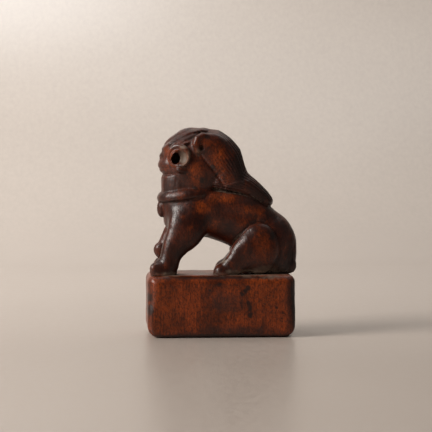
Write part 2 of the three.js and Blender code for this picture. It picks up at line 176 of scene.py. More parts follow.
def smooth_line(stations, steps):
    """Points on a centripetal spline through the stations, at the given shares of its way."""
    points = np.array(stations, float)
    points = np.vstack([2 * points[0] - points[1], points, 2 * points[-1] - points[-2]])

    def columns(part):
        gaps = np.maximum(np.linalg.norm(np.diff(points[:, part], axis=0), axis=1), 1e-6) ** 0.5
        at = np.clip(steps, 0, 1) * (len(stations) - 1)
        i = np.minimum(at.astype(int), len(stations) - 2)
        t = (at - i)[:, None]
        p0, p1, p2, p3 = (points[i + k][:, part] for k in range(4))
        g0, g1, g2 = (gaps[i + k][:, None] for k in range(3))
        g0, g2 = np.where(g0 < 1e-2, g1, g0), np.where(g2 < 1e-2, g1, g2)
        g1 = np.maximum(g1, 1e-3)
        out = ((p1 - p0) / g0 - (p2 - p0) / (g0 + g1) + (p2 - p1) / g1) * g1
        back = ((p2 - p1) / g1 - (p3 - p1) / (g1 + g2) + (p3 - p2) / g2) * g1
        return (
            p1 + out * t + (3 * (p2 - p1) - 2 * out - back) * t**2
            + (2 * (p1 - p2) + out + back) * t**3
        )

    return np.hstack([columns(slice(0, 3)), columns(slice(3, 5))])


def limb(at, stations, ends, power=2.0, strands=0, depth=0.0, fade=1.0):
    """A rounded form along an axis in the plane of X and Z.

    Each station is x, y, z, half height, half width. Strands are lines cut along the form.
    """
    steps = np.linspace(0, 1, 161)
    line = smooth_line(stations, steps)
    mid_x, mid_y, mid_z, high, wide = line.T
    run_x, run_z = np.gradient(mid_x, steps), np.gradient(mid_z, steps)
    speed = np.hypot(run_x, run_z)
    x, z = at.x[:, 0, :], at.z[0]
    near = ((x[..., None] - mid_x) ** 2 + (z[..., None] - mid_z) ** 2).argmin(-1)
    away_x, away_z = x - mid_x[near], z - mid_z[near]
    way_x, way_z = (run_x / speed)[near], (run_z / speed)[near]
    along = steps[near] + (away_x * way_x + away_z * way_z) / speed[near]
    off = away_z * way_x - away_x * way_z
    inner = np.clip(along, 0, 1)
    high, wide, mid_y = (np.interp(inner, steps, part) for part in (high, wide, mid_y))
    start = np.maximum(0, 1 - along / ends[0])
    end = np.maximum(0, 1 - (1 - along) / ends[1])
    closing = (start**2 + end**2)[:, None, :].astype(np.float32)
    pull = ((start / ends[0]) ** 2 + (end / ends[1]) ** 2)[:, None, :]
    pull = pull / speed[near][:, None, :] ** 2
    high, wide, off = (part[:, None, :].astype(np.float32) for part in (high, wide, off))
    beside = at.y - mid_y[:, None, :].astype(np.float32)
    a, b = np.abs(off) / high, np.abs(beside) / wide
    if power == 2.0:
        ring = a**2 + b**2
        slope = (a / high) ** 2 + (b / wide) ** 2
    else:
        reach = np.maximum(a**power + b**power, 1e-9) ** (1 / power)
        ring = reach**2
        slope = ring * (
            (a / reach) ** (2 * power - 2) / high**2 + (b / reach) ** (2 * power - 2) / wide**2
        )
    whole = np.sqrt(ring + closing)
    form = (whole - 1) * whole / np.sqrt(slope + pull.astype(np.float32) + 1e-4)
    if strands:
        angle = np.arctan2(b, off / high) * strands / 2
        wander = 0.35 * np.sin(9 * along + 1.0)[:, None, :] + 0.25 * np.sin(1.3 * beside)
        lines = (1 - np.abs(np.sin(angle + wander.astype(np.float32)))) ** 1.5
        form = form + depth * lines * fade
    return form


def egg(at, middle, halves, pitch=0.0):
    """An ellipsoid, turned about Y by pitch, in degrees."""
    x, y, z = (part - value for part, value in zip((at.x, at.y, at.z), middle))
    c, s = math.cos(math.radians(pitch)), math.sin(math.radians(pitch))
    x, z = x * c - z * s, x * s + z * c
    a, b, h = halves
    k0 = np.sqrt((x / a) ** 2 + (y / b) ** 2 + (z / h) ** 2)
    k1 = np.sqrt((x / a**2) ** 2 + (y / b**2) ** 2 + (z / h**2) ** 2) + 1e-6
    return k0 * (k0 - 1) / k1


def stroke(at, points, radii):
    """A round bar along a line of points, with a radius at each point."""
    form = None
    for i in range(len(points) - 1):
        p, q = np.array(points[i], float), np.array(points[i + 1], float)
        way = q - p
        x, y, z = at.x - p[0], at.y - p[1], at.z - p[2]
        t = np.clip((x * way[0] + y * way[1] + z * way[2]) / (way @ way), 0, 1)
        gap = np.sqrt((x - t * way[0]) ** 2 + (y - t * way[1]) ** 2 + (z - t * way[2]) ** 2)
        gap = gap - (radii[i] + (radii[i + 1] - radii[i]) * t)
        form = gap if form is None else np.minimum(form, gap)
    return form


def side_line(at, points):
    """Distance from a line of points in the side view, whatever the depth."""
    flat = None
    for (px, pz), (qx, qz) in zip(points, points[1:]):
        wx, wz = qx - px, qz - pz
        t = np.clip(((at.x - px) * wx + (at.z - pz) * wz) / (wx**2 + wz**2), 0, 1)
        gap = np.hypot(at.x - px - t * wx, at.z - pz - t * wz)
        flat = gap if flat is None else np.minimum(flat, gap)
    return flat


def groove(at, points, width, depth):
    """How far a knife line, drawn in the side view, sinks the surface."""
    return depth * np.exp(-((side_line(at, points) / width) ** 2))


# The carved sections


def torso(at):
    """The chest stands upright and the back slopes down to the seat."""
    chest = limb(at, [
        (-9.6, 0, 10.5, 5.2, 5.7), (-9.8, 0, 15.5, 7.2, 7.1), (-9.4, 0, 20, 8.3, 7.6),
        (-9.4, 0, 24, 8.5, 7.4), (-9.4, 0, 27.5, 7.6, 6.8),
    ], (0.25, 0.15))
    back = limb(at, [
        (-12, 0, 19.5, 6, 7), (-6, 0, 19.3, 7.8, 8), (1, 0, 17.6, 7.8, 8.2),
        (8, 0, 14.8, 8, 8.2), (14.6, 0, 10.9, 8.4, 8.2), (20.6, 0, 4.6, 8, 7.8),
    ], (0.15, 0.2))
    seat = egg(at, (15.4, 0, 3.6), (6.6, 7.8, 6))
    rump = egg(at, (15.0, 0, 7.2), (6.9, 8.6, 8.2))
    withers = limb(at, [
        (-8.5, 0, 22.4, 4.3, 7.0), (-3, 0, 22.4, 4.5, 7.6), (3, 0, 22.0, 4.8, 8.2),
        (8, 0, 20.9, 4.8, 8.2), (12.5, 0, 18.4, 4, 7.6), (16, 0, 15.1, 3, 6.6),
    ], (0.2, 0.2), 2.4)
    form = both(both(chest, back, 3.0), seat, 2.0)
    return both(both(form, rump, 2.0), withers, 2.0)


def foreleg(at, side):
    lift = BALL_TOP if side > 0 else 0.0
    return limb(at, [
        (-7.9, side * 5.4, 19.5, 7, 3.9), (-11, side * 6.2, 12.7 + lift * 0.15, 5.6, 3.5),
        (-13.6, side * 6.6, 8.8 + lift * 0.45, 4.1, 3.1),
        (-15.1, side * 6.8, 5.6 + lift * 0.75, 3.2, 2.8), (-16.2, side * 7.0, 1.0 + lift, 2.9, 2.7),
    ], (0.2, 0.1), 2.2)


def toes(at, x, y, z, pitch, halves, lean):
    """Four toes side by side."""
    row = None
    for i in range(4):
        offset = i - 1.5
        middle = (x + 0.12 * offset**2, y + offset * pitch, z)
        toe = egg(at, middle, (halves[0], 0.86, halves[1]), lean)
        row = toe if row is None else both(row, toe, 0.15)
    return row


def forepaw(at, side):
    y = side * 7.0
    if side > 0:
        palm = egg(at, (-16.2, y, BALL_TOP + 2.2), (3.6, 3, 2.3), 8)
        front = toes(at, -18.0, y, BALL_TOP + 2.3, 1.45, (1.8, 2.3), -12)
    else:
        palm = egg(at, (-17.3, y, 0.9), (4.0, 3, 4.0), 8)
        front = toes(at, -19.2, y, 0.6, 1.45, (1.9, 3.1), -34)
    return both(palm, front, 0.9)


def play_ball(at):
    return egg(at, (-17.8, 7, 2.0), (2.2, 2.2, 2.2))


def hind_leg(at, side):
    """A haunch with its shin."""
    y = side * 7.3
    behind = 1.5 if side > 0 else 0.0
    haunch = egg(at, (11.7, y, 8), (6.3, 3.7, 8))
    shin = limb(at, [
        (11.5, y, 8.8, 5, 3.3), (7.9 + behind / 2, y, 6.7, 4.7, 3.4),
        (4.9 + behind, y, 3.7, 3.7, 3.1), (0.9 + behind, y, 1.3, 2.4, 2.7),
    ], (0.2, 0.15), 2.8)
    return both(haunch, shin, 1.6)


def hind_paw(at, side):
    y, behind = side * 7.4, 1.5 if side > 0 else 0.0
    pad = egg(at, (behind + 0.9, y, 0.4), (3.1, 2.8, 3.4))
    front = toes(at, behind, y, 0.5, 1.35, (1.8, 2.2), -35)
    return both(pad, front, 0.8)


def tail(at):
    """The tail lies up the rump and parts into two curls over the block."""
    form = limb(at, [
        (20.1, 0, 15.8, 1.2, 2.3), (21.5, 0, 11.6, 1.4, 3.1), (22.2, 0, 6.9, 1.4, 3.7),
        (22.1, 0, 3.4, 1.4, 3.7), (21.7, 0, 0.9, 1.3, 3.3),
    ], (0.2, 0.15), 2.0, 12, 0.3)
    for side in SIDES:
        curl = egg(at, (22.2, side * 2.4, 2.2), (1.5, 1.7, 1.9))
        middle = stroke(at, [(24.0, side * 2.5, 2.3), (22.9, side * 2.5, 2.3)], [0.5, 0.35])
        form = both(form, without(curl, middle, 0.4), 0.3)
    return form


def collar(at):
    """A round band about the neck, higher at the nape."""
    c, s = math.cos(math.radians(7)), math.sin(math.radians(7))
    x, z = at.x + 9.1, at.z - 24.6
    x, z = x * c + z * s, z * c - x * s
    long, wide = 8.7, 7.2
    reach = np.sqrt((x / long) ** 2 + (at.y / wide) ** 2) + 1e-6
    off = (reach - 1) * reach / np.sqrt((x / long**2) ** 2 + (at.y / wide**2) ** 2 + 1e-6)
    a, b = np.abs(off + 0.15 + 0.28 * z) / 1.5, np.abs(z) / 1.75
    return ((a**2.1 + b**2.1) ** (1 / 2.1) - 1) * 1.5


def chest_bell(at):
    """A small bell, shaped like a drop, with a slit."""
    drop = egg(at, (-17.3, 0, 20.3), (1.8, 2.1, 3.2), 6)
    slit = stroke(at, [(-19.3, -1.2, 18.9), (-19.3, 1.2, 18.9)], [0.25, 0.25])
    return without(drop, slit, 0.2)


def hair_lines(at):
    """Fine lines on the forehead, along its profile."""
    profile = [(-18.5, 37.6), (-16, 40.2), (-13, 42.3), (-9, 44.2), (-4, 45.2), (0, 45.0)]
    under = side_line(at, profile)
    hair = np.clip((at.z - 38.4) / 1.2, 0, 1) * np.clip((-4.6 - at.x) / 1.0, 0, 1)
    return 0.32 * hair * (1 - np.abs(np.sin(2.4 * under)))


def head(at):
    """The skull, the brow and the cheeks."""
    skull = limb(at, [
        (-5.6, 0, 24.2, 6.6, 7.0), (-6.6, 0, 28.6, 8.2, 7.8), (-7.7, 0, 33, 9.6, 8.3),
        (-8, 0, 37.6, 9.5, 8), (-7.3, 0, 41.0, 6.3, 6.5), (-5.6, 0, 44.4, 3.0, 4.5),
    ], (0.1, 0.18), 2.3)
    form = skull
    for side in SIDES:
        brow = stroke(at, [
            (-16.6, side * 1.8, 38.2), (-14.6, side * 4.8, 39.6), (-11.0, side * 7.0, 39.9),
        ], [0.7, 1.0, 0.7])
        cheek = egg(at, (-11.9, side * 7.3, 31.8), (1.9, 1.3, 1.0), 10)
        lobe = egg(at, (-4.4, side * 4.3, 31.6), (6.8, 4.15, 5.2), 35)
        form = both(both(both(form, lobe, 1.5), brow, 1.0), cheek, 0.6)
    return form + hair_lines(at)


def muzzle(at):
    snout = egg(at, (-14.3, 0, 33.4), (4.5, 5.7, 3.5), -4)
    nose = egg(at, (-16.9, 0, 35.9), (1.5, 2.3, 1.2), 20)
    form = both(snout, nose, 0.7)
    for side in SIDES:
        nostril = egg(at, (-18.4, side * 1.2, 35.4), (0.8, 0.5, 0.45))
        form = without(form, nostril, 0.3)
    return form + groove(at, [(-20, 32.2), (-16, 32.4), (-12.6, 31.8)], 0.35, 0.22)


def jaw(at):
    """The chin and the beard, with shallow strands."""
    form = limb(at, [
        (-10.3, 0, 23.6, 7.4, 6.6), (-10.2, 0, 27.3, 7.6, 6.9), (-10.0, 0, 31.2, 7.9, 6.9),
    ], (0.2, 0.2), 2.4)
    turn = np.arctan2(at.y, at.x + 9)
    form = form + 0.15 * np.clip((at.z - 28.6) / 2.0, 0, 1)
    return form + 0.09 * (1 - np.abs(np.sin(13 * turn + 0.3 * np.sin(at.z)))) ** 2


EYE_X, EYE_Y, EYE_Z = -12.6, 6.5, 35.8
EYE_FACING = np.array([-0.44, 0.89, 0.05]) / np.linalg.norm([-0.44, 0.89, 0.05])


def eye_frame(at, side):
    """Where each sample lies from an eye's middle: out along its axis, and away from it."""
    facing = EYE_FACING * (1, side, 1)
    x, y, z = at.x - EYE_X, at.y - side * EYE_Y, at.z - EYE_Z
    out = x * facing[0] + y * facing[1] + z * facing[2]
    square = x**2 + y**2 + z**2
    return out, np.sqrt(np.maximum(square - out**2, 0)), np.sqrt(square)


def eye(at, side):
    """An eye's raised rim with the ball inside it."""
    out, away, far = eye_frame(at, side)
    high = np.clip(0.5 + 0.16 * (at.z - EYE_Z) + 0.08 * (at.x - EYE_X), 0, 1)
    rim = np.hypot(away - 2.85 - 0.3 * high, out - 0.6) - 0.62 - 0.42 * high
    return both(rim, far - 2.6, 0.3)


def eye_drill(at, side):
    """The bowl of an eye, with its pupil drilled deep."""
    bowl = egg(at, (-12.5, side * 8.9, 35.7), (2.45, 1.7, 2.5))
    pupil = egg(at, (-13.6, side * 6.4, 35.4), (1.3, 3.4, 1.8))
    return both(bowl, pupil, 0.1)


def ear(at, side):
    """An ear folded back against the mane, hollowed on its outer side."""
    whole = egg(at, (-5.2, side * 7.2, 39.8), (3.3, 1.6, 3.2), 20)
    edge = stroke(at, [
        (-7.0, side * 8.3, 37.8), (-7.6, side * 8.7, 39.6), (-7.1, side * 8.6, 41.4),
        (-5.4, side * 8.0, 42.4), (-3.2, side * 7.4, 41.9),
    ], [0.75, 1.05, 1.05, 0.8, 0.4])
    mound = egg(at, (-2.4, side * 6.9, 39.0), (4.2, 1.9, 3.9), 30)
    hollow = egg(at, (-5.4, side * 10.2, 39.0), (1.2, 1.2, 1.6), 20)
    pit = egg(at, (-5.9, side * 9.2, 38.6), (0.75, 1.7, 1.0), -10)
    return without(without(both(both(whole, mound, 1.2), edge, 0.7), hollow, 0.5), pit, 0.25)


def forelock(at):
    """The lock of hair from the forehead to the crown."""
    front = 1 / (1 + np.exp((at.x + 5.5) / 0.7))
    return limb(at, [
        (-17, 0, 38.8, 1.1, 2.6), (-14, 0, 40.7, 1.4, 4.8), (-10, 0, 42.4, 1.5, 5.6),
        (-5.6, 0, 43.6, 1.3, 5.0), (-1, 0, 43.0, 0.9, 2.8),
    ], (0.25, 0.25), 2.0, 30, 0.3, front.astype(np.float32)) + hair_lines(at)


def mane_hood(at):
    """The hood of the mane, behind the face."""
    rear = 0.2 + 0.8 / (1 + np.exp(-(at.x - 1.5)))
    top = 0.75 / (1 + np.exp(-(at.z - 42.5)))
    return limb(at, [
        (4.8, 0, 27.4, 3.1, 7.5), (3.9, 0, 30.5, 4.7, 8.8), (1.1, 0, 34.5, 6.5, 9.2),
        (-1.3, 0, 38.5, 5.9, 8.6), (-2.8, 0, 41.4, 4.5, 6.8), (-3.8, 0, 44.0, 3.0, 4.6),
    ], (0.06, 0.14), 2.4, 44, 0.38, np.maximum(rear, top).astype(np.float32))


def mane_cape(at):
    """The part of the mane that lies on the back, down to its tip."""
    return limb(at, [
        (-5, 0, 28.8, 2.6, 7.0), (-1, 0, 28.6, 3.3, 8.2), (3.0, 0, 28.2, 3.9, 8.7),
        (7.3, 0, 27.1, 3.8, 8.6), (11.4, 0, 24.5, 3.1, 7.8), (14.5, 0, 21.8, 2.4, 6.4),
        (15.7, 0, 20.0, 1.4, 4.6),
    ], (0.12, 0.15), 2.6, 30, 0.35)


def rounded_rectangle(u, v, half_u, half_v, radius):
    """Distance outside a rectangle whose corners have the given radius."""
    a, b = np.abs(u) - half_u + radius, np.abs(v) - half_v + radius
    outside = np.hypot(np.maximum(a, 0), np.maximum(b, 0))
    return outside + np.minimum(np.maximum(a, b), 0) - radius


def block(at):
    """The stamping block, as a solid bar with soft edges."""
    shape = bpy.context.scene.seal_shape
    half_x, half_y = (BLOCK_HIGH[:2] - BLOCK_LOW[:2]) / 2
    half_z = (BLOCK_TOP - SOLE) / 2
    x, z = at.x - BLOCK_MIDDLE, at.z + half_z
    share = 1 / (1 + np.exp(-z))
    corner = share * shape.block_top_radius / MM + (1 - share) * shape.block_bottom_radius / MM
    side = rounded_rectangle(x, z, half_x, half_z, corner)
    ends = np.exp(-(((at.x + 22) / 3.5) ** 2)) + 0.4 * np.exp(-(((at.x - 22.5) / 3) ** 2))
    edge = (1 + 0.2 * share + 0.7 * share * ends) * shape.block_edge_radius / MM
    a, b = side + edge, np.abs(at.y) - half_y + edge
    outside = np.hypot(np.maximum(a, 0), np.maximum(b, 0))
    return outside + np.minimum(np.maximum(a, b), 0) - edge


RELIEF = 0.75
# The sunk field keeps a border inside the corners and the edges of the block.
CORNER_INSET, EDGE_INSET, BORDER = 3.6, 1.5, 1.3
FIELD_CORNER = 1.5


def sole_field(at, margin=0.0):
    """The sunk field in the stamping face."""
    half_x, half_y = (BLOCK_HIGH[:2] - BLOCK_LOW[:2]) / 2
    long, wide = half_x - CORNER_INSET - BORDER - margin, half_y - EDGE_INSET - BORDER - margin
    flat = rounded_rectangle(at.x - BLOCK_MIDDLE, at.y, long, wide, FIELD_CORNER)
    return np.maximum(flat, at.z - (SOLE - BLOCK_TOP + RELIEF))


def square_spiral(width, depth):
    """The middle line of a square spiral that winds in from the lowest corner of its cell."""
    left, right, front, back = 0.0, width, 0.0, depth
    points = [(left, front)]
    while right - left > 2 and back - front > 2:
        points += [(right, front), (right, back), (left, back)]
        front, back, right = front + 2, back - 2, right - 2
        if back > front:
            points.append((left, front))
            left += 2
    return points


def fret(at):
    """The raised fret of square spirals, with the ground that it stands on.

    Its bars are 1 mm wide and stand 1 mm apart.
    """
    shape = bpy.context.scene.seal_shape
    length = float(BLOCK_HIGH[0] - BLOCK_LOW[0]) - 2 * (CORNER_INSET + BORDER)
    depth = float(BLOCK_HIGH[1] - BLOCK_LOW[1]) - 2 * (EDGE_INSET + BORDER)
    cell_x = (length - 1) / shape.fret_columns - 1
    cell_y = (depth - 1) / shape.fret_rows - 1
    flat = None
    for column in range(shape.fret_columns):
        for row in range(shape.fret_rows):
            x = BLOCK_MIDDLE - length / 2 + 1 + column * (cell_x + 1)
            y = -depth / 2 + 1 + row * (cell_y + 1)
            spiral = square_spiral(cell_x - 1, cell_y - 1)
            for p, q in zip(spiral, spiral[1:]):
                if (column + row) % 2:
                    p, q = (cell_x - 1 - p[0], p[1]), (cell_x - 1 - q[0], q[1])
                middle = ((p[0] + q[0]) / 2 + x + 0.5, (p[1] + q[1]) / 2 + y + 0.5)
                half = (abs(p[0] - q[0]) / 2 + 0.5, abs(p[1] - q[1]) / 2 + 0.5)
                bar = rounded_rectangle(at.x - middle[0], at.y - middle[1], *half, 0.2)
                flat = bar if flat is None else np.minimum(flat, bar)
    low = SOLE - BLOCK_TOP
    a, b = flat + 0.15, low + 0.15 - at.z
    bars = np.hypot(np.maximum(a, 0), np.maximum(b, 0)) + np.minimum(np.maximum(a, b), 0) - 0.15
    ground = np.maximum(sole_field(at, -0.3), low + RELIEF - at.z)
    return np.maximum(both(bars, ground, 0.2), at.z - low - 1.0)


# From a form to a mesh


# Moves the noise, so that its own cells do not start at the lion's middle.
OFF_CENTRE = 12.37
CORNERS = np.array([(i, j, k) for i in (0, 1) for j in (0, 1) for k in (0, 1)])
EDGES = [
    (a, b) for a in range(8) for b in range(a + 1, 8)
    if np.abs(CORNERS[a] - CORNERS[b]).sum() == 1
]


def skin(field):
    """The surface where a field changes sign, as points in cells and four-sided faces."""
    inside = field < 0
    parts = [
        inside[i:inside.shape[0] - 1 + i, j:inside.shape[1] - 1 + j, k:inside.shape[2] - 1 + k]
        for i, j, k in CORNERS
    ]
    total = reduce(np.add, [part.astype(np.int8) for part in parts])
    mixed = (total > 0) & (total < 8)
    cells = np.argwhere(mixed)
    number = np.full(mixed.shape, -1, np.int64)
    number[mixed] = np.arange(len(cells))
    values = [field[tuple((cells + corner).T)] for corner in CORNERS]
    place, count = np.zeros((len(cells), 3)), np.zeros(len(cells))
    for a, b in EDGES:
        crossed = (values[a] < 0) != (values[b] < 0)
        t = np.where(crossed, values[a] / np.where(crossed, values[a] - values[b], 1), 0)
        place += crossed[:, None] * (CORNERS[a] + t[:, None] * (CORNERS[b] - CORNERS[a]))
        count += crossed
    points = cells + place / count[:, None]
    faces = []
    for axis in range(3):
        second, third = np.eye(3, dtype=int)[(axis + 1) % 3], np.eye(3, dtype=int)[(axis + 2) % 3]
        first = np.moveaxis(inside, axis, 0)
        change = np.moveaxis(first[:-1] != first[1:], 0, axis)
        at = np.argwhere(change)
        quad = np.stack([
            number[tuple((at - step).T)] for step in (second + third, third, 0 * third, second)
        ], axis=1)
        outward = inside[tuple(at.T)]
        quad[~outward] = quad[~outward][:, ::-1]
        faces.append(quad)
    return points, np.vstack(faces)


def blended(cells, share, value_at):
    """Blends the values at the eight corners of each point's cell."""
    total = 0
    for corner in CORNERS:
        weight = np.prod(np.where(corner, share, 1 - share), axis=1)
        total = total + weight * value_at(cells + corner)
    return total


def sample(field, points):
    """Values of a field between its samples."""
    points = np.clip(points, 0, np.array(field.shape) - 1.001)
    cells = points.astype(int)
    return blended(cells, points - cells, lambda corners: field[tuple(corners.T)])


def summed(index, rows, count):
    """Adds up the rows that have the same index."""
    return np.stack([np.bincount(index, column, count) for column in rows.T], axis=1)


def joined(count, groups):
    """For each point, the lowest number among all the points that groups join it to."""
    label = np.arange(count)
    while True:
        low = label[groups].min(axis=1)
        new = label.copy()
        np.minimum.at(new, groups.ravel(), np.repeat(low, groups.shape[1]))
        new = new[new]
        if (new == label).all():
            return label
        label = new


def slope_of(field, points, step):
    """The direction in which a field rises, at points between its samples."""
    return np.stack([
        sample(field, points + step * axis) - sample(field, points - step * axis)
        for axis in np.eye(3)
    ], axis=1) / (2 * step)


def relaxed(field, cell, points, faces):
    """Evens out the points and sets them back on the surface."""
    start, end = faces.ravel(), np.roll(faces, -1, axis=1).ravel()
    count = np.bincount(start, minlength=len(points))[:, None]
    for _ in range(3):
        around = summed(start, points[end], len(points)) / count
        points = 0.4 * points + 0.6 * around
    for _ in range(2):
        slope = slope_of(field, points, 0.5) / cell
        far = sample(field, points)
        steep = np.maximum((slope**2).sum(axis=1), 0.2)
        points = points - np.clip(far / steep, -0.5 * cell, 0.5 * cell)[:, None] * slope / cell
    return points


def normals_of(points, faces):
    """Unit normals at the points of a mesh."""
    corners = points[faces]
    across = np.cross(corners[:, 2] - corners[:, 0], corners[:, 3] - corners[:, 1])
    total = summed(faces.ravel(), np.repeat(across, 4, axis=0), len(points))
    return total / np.maximum(np.linalg.norm(total, axis=1), 1e-12)[:, None]


def mottle(points, size, seed):
    """Smooth seeded noise from -1 to 1 whose lumps are about the given size."""
    lumps = 24
    table = np.random.default_rng(seed).uniform(-1, 1, (lumps, lumps, lumps))
    moved = points / size + OFF_CENTRE
    cells = np.floor(moved).astype(int)
    share = moved - cells
    share = share * share * (3 - 2 * share)
    return blended(cells, share, lambda corners: table[tuple((corners % lumps).T)])


def spacing(size):
    """The distance between samples, in millimetres, wider in a quick run."""
    return size / MM * 1


def both_sides(name, form, *rest):
    """The rows of a section that is carved on each side, left first."""
    return [(title, partial(form, side=side), *rest) for side, title in zip(SIDES, pair(name))]


def pair(name):
    return f"left_{name}", f"right_{name}"


# Each carved section: its name, its form, the fillet where it meets the ones before it, the depth
# of the knife line there, and its slot.
SECTIONS = [
    ("torso", torso, 0.0, 0.0, "body_wood"),
    *both_sides("foreleg", foreleg, 2.2, 0.0, "body_wood"),
    ("jaw", jaw, 0.8, 0.05, "face_wood"),
    ("head", head, 0.6, 0.10, "face_wood"),
    ("muzzle", muzzle, 0.9, 0.0, "face_wood"),
    ("collar", collar, 0.35, 0.10, "collar_wood"),
    ("chest_bell", chest_bell, 0.5, 0.12, "collar_wood"),
    ("mane_cape", mane_cape, 0.4, 0.25, "hair_wood"),
    ("mane_hood", mane_hood, 2.4, 0.0, "hair_wood"),
    ("forelock", forelock, 0.7, 0.05, "hair_wood"),
    *both_sides("ear", ear, 1.1, 0.04, "face_wood"),
    *both_sides("eye", eye, 0.3, 0.10, "face_wood"),
    ("tail", tail, 0.9, 0.12, "hair_wood"),
    *both_sides("hind_leg", hind_leg, 0.35, 0.34, "body_wood"),
    *both_sides("hind_paw", hind_paw, 1.0, 0.0, "body_wood"),
    ("play_ball", play_ball, 0.3, 0.10, "body_wood"),
    *both_sides("forepaw", forepaw, 1.3, 0.12, "body_wood"),
]
NAMES = [section[0] for section in SECTIONS]
# The middle of each deep pit on the right side, and the place behind it where the sections that
# end there are closed.
PITS = [((EYE_X, 7.5, EYE_Z), (-13.4, 0.8, 35.4)), ((-5.4, 8.2, 39.4), (-5.4, 3.0, 39.0))]
PIT_REACH = 3.2
# The wood this near a drilled pupil belongs to the eye.
PIT_WALL = 0.7
# The carved surface goes this far into the block, and the fans that close a section inside stand
# back from its edges by the second length.
SUNK = 0.25
FAN_DEPTH = 1.0
# Fillets wider than this hide the knife line, whose width comes next.
WIDE_FILLET = 1.5
LINE_WIDTH = 0.45


def lion_field(at):
    """The whole lion, and the number of the section that lies outermost at each sample."""
    field, mark = None, None
    for number, (_, form, fillet, line, _) in enumerate(SECTIONS):
        part = form(at)
        if field is None:
            field, mark = np.broadcast_to(part, at.shape).copy(), np.zeros(at.shape, np.int8)
            continue
        gap = field - part
        mark[np.broadcast_to(gap > 0, at.shape)] = number
        if fillet > WIDE_FILLET:
            field = both(field, part, fillet)
        else:
            cut = line * np.exp(-((gap / LINE_WIDTH) ** 2))
            field = both(field, part, fillet * ease(at)) + cut
    for side, name in zip(SIDES, pair("eye")):
        pit = eye_drill(at, side)
        mark[np.broadcast_to(pit < PIT_WALL, at.shape)] = NAMES.index(name)
        field = without(field, pit, 0.12)
    mouth = [(-20, 29.9), (-17.5, 30.2), (-13.5, 30.8)]
    behind_cheek = [(-6.2, 36.6), (-4.6, 34.6), (-2.4, 32.0), (-0.2, 29.0), (1.2, 26.6)]
    field = field + groove(at, mouth, 0.5, 0.2)
    field = field + groove(at, behind_cheek, 0.4, 0.28)
    return np.maximum(field, -SUNK - at.z).astype(np.float32), mark


def ease(at):
    """How much softer the cuts are over the rump, where hands have worn them away."""
    over = np.clip((at.x - 14.5) / 4, 0, 1) * np.clip((14 - at.z) / 4, 0, 1)
    return 1 + 3.0 * over


@lru_cache
def lion():
    """The lion's surface, carved once: its points, faces, normals and section numbers."""
    cell = spacing(bpy.context.scene.seal_shape.detail)
    at = Lump((-22.6, -10.6, -SUNK), (24.8, 10.6, 46), cell)
    field, mark = lion_field(at)
    points, faces = main_part(*skin(field))
    points = relaxed(field, cell, points, faces)
    middle = np.round(points[faces].mean(axis=1)).astype(int)
    points, marks = points * cell + at.low, mark[tuple(middle.T)]
    return points, faces, normals_of(points, faces), marks


@lru_cache
def whole_seal():
    """A coarse field of the whole seal, which tells hollows from high spots."""
    at = Lump((-28, -17, -24), (29, 17, 51), 0.5)
    return at, np.minimum(lion_field(at)[0], block(at))


def hollow_and_worn(points, normals):
    """How far each point lies in a hollow, and how far it stands proud, each from 0 to 1."""
    at, field = whole_seal()

    def look(distance):
        return sample(field, (points + distance * normals - at.low) / at.cell)

    near = look(0.0)
    hollow = sum(
        np.clip(1 - (look(reach) - near) / reach, 0, 1) * weight
        for reach, weight in ((0.9, 0.3), (1.8, 0.4), (3.5, 0.3))
    )
    worn = sum(
        np.clip(1 + (look(-reach) - near) / reach, 0, 1) * weight
        for reach, weight in ((1.0, 0.5), (2.0, 0.5))
    )
    for side in SIDES:  # less patina, painted shade and dust in the drilled eyes
        far = np.linalg.norm(points - (-11.9, side * 8.0, 35.7), axis=1)
        hollow = hollow * (1 - 0.75 * np.exp(-((far / 2.4) ** 4)))
    return hollow, worn


def spots(y, deep, places, mirrored=False):
    """Places at one depth in the block or the lion: x, z, half width and half height of each."""
    depths = (-y, y) if mirrored else (y,)
    return [((x, at, z), (wide, deep, high)) for at in depths for x, z, wide, high in places]


# Dark spots, and painted shade: darker along the block's lower edges and down its right end, copied to
# the left end of the far face. A darker band also runs along the block's top edges.
STAINS_AND_SHADE = [
    *spots(-12, 9, [
        (-0.7, -2.9, 0.85, 0.9), (8, -3.7, 0.7, 0.9), (7.2, -4.8, 0.8, 0.8), (6.3, -5.6, 0.7, 0.6),
        (8.1, -8.3, 0.6, 0.8), (8.5, -10.2, 0.6, 1), (8.7, -11.9, 0.9, 0.9),
        (18.7, -11.5, 0.5, 0.5), (16.7, -9.9, 0.35, 0.35), (16.5, -12.9, 0.35, 0.35),
        (18.4, -13.2, 0.4, 0.3), (20, -10.7, 0.3, 0.3), (13.2, -8.7, 0.3, 0.35),
        (-3.5, -4.5, 0.35, 0.35), (5.9, -8.3, 0.4, 0.4),
    ]),
    *spots(12, 9, [(4.5, -6, 1.4, 1.1), (-9, -12, 0.9, 1.8)]),
    *spots(-9, 6, [
        (-21.7, -6.8, 1.2, 1.5), (-21.4, -10.4, 1.3, 2), (-5.6, 28.6, 0.9, 1),
        (-2.4, 32.6, 0.6, 0.8), (-1.2, 30.6, 0.5, 0.6), (-4, 41.8, 1, 0.7),
    ]),
    *spots(9, 6, [(6, 33, 1.1, 0.9)]),
    *spots(-8, 6, [(-7.6, 26.3, 0.9, 0.5)]),
    *spots(-10, 6, [(15.6, 11.5, 0.9, 1.6)]),
    *spots(10, 6, [(12, 9, 1.3, 1)]),
    # Painted shade along the block's lower edges, front and back.
    *spots(12, 4, [(0, -18.9, 25, 1.3)], mirrored=True),
    *spots(12, 1.6, [(2, -0.4, 30, 0.75)], mirrored=True),
    # Painted shade down the block's right end, and its copy at the left end of the far face.
    *spots(-12, 5, [(22.6, -9, 1.3, 9)]),
    *spots(12, 5, [(-22.5, -9, 1.3, 9)]),
]
